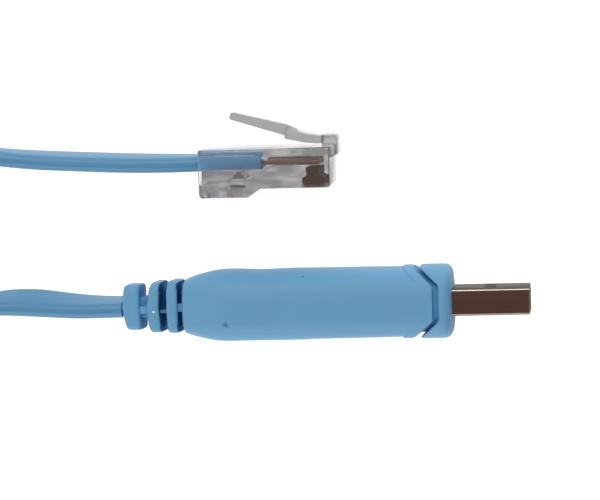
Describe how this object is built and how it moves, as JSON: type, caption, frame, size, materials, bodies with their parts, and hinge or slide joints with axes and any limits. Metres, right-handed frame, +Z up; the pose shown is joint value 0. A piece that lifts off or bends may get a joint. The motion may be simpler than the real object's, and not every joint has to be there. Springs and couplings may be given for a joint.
{
  "type": "console cable",
  "caption": "Flat light-blue console cord with a USB-A plug in a ribbed moulding at one end and a clear latched modular plug at the other.",
  "frame": {"origin": "on the floor under the middle of the two plugs' box", "axes": "+X along the plugs towards their tips, +Y across the floor towards the modular plug's latch, +Z up"},
  "size_m": [0.2144, 0.0464, 0.0177],
  "materials": {
    "moulding": "light blue soft PVC moulding, satin",
    "cord": "light blue PVC cord jacket, satin",
    "shell": "nickel-plated steel, smooth",
    "tongue": "white moulded thermoplastic",
    "contacts": "gold-plated copper alloy",
    "clear_plug": "clear moulded polycarbonate, glossy",
    "wire_white": "white wire insulation",
    "wire_orange": "orange wire insulation",
    "wire_black": "black wire insulation",
    "wire_red": "red wire insulation",
    "wire_green": "green wire insulation",
    "wire_yellow": "yellow wire insulation",
    "wire_blue": "blue wire insulation",
    "wire_brown": "brown wire insulation",
    "tie": "black nylon hook-and-loop strap"
  },
  "bodies": {
    "cable": {"usb_moulding": "moulding", "usb_shell": "shell", "usb_tongue": "tongue", "usb_contact_1": "contacts", "usb_contact_2": "contacts", "usb_contact_3": "contacts", "usb_contact_4": "contacts", "rj45_body": "clear_plug", "rj45_contact_1": "contacts", "rj45_contact_2": "contacts", "rj45_contact_3": "contacts", "rj45_contact_4": "contacts", "rj45_contact_5": "contacts", "rj45_contact_6": "contacts", "rj45_contact_7": "contacts", "rj45_contact_8": "contacts", "conductor_white": "wire_white", "conductor_orange": "wire_orange", "conductor_black": "wire_black", "conductor_red": "wire_red", "conductor_green": "wire_green", "conductor_yellow": "wire_yellow", "conductor_blue": "wire_blue", "conductor_brown": "wire_brown", "cord_rj45_end": "cord", "cord_usb_end": "cord", "cord_hank": "cord", "hank_tie": "tie"},
    "latch": {"rj45_latch": "clear_plug"}
  },
  "joints": [
    {"name": "latch_press", "type": "hinge", "parent": "cable", "child": "latch", "pos_m": [-0.00141, 0.01454, 0.00584], "axis": [0, 0, 1], "range_deg": [0, 13], "stiffness_Nm_per_rad": 0.02}
  ]
}
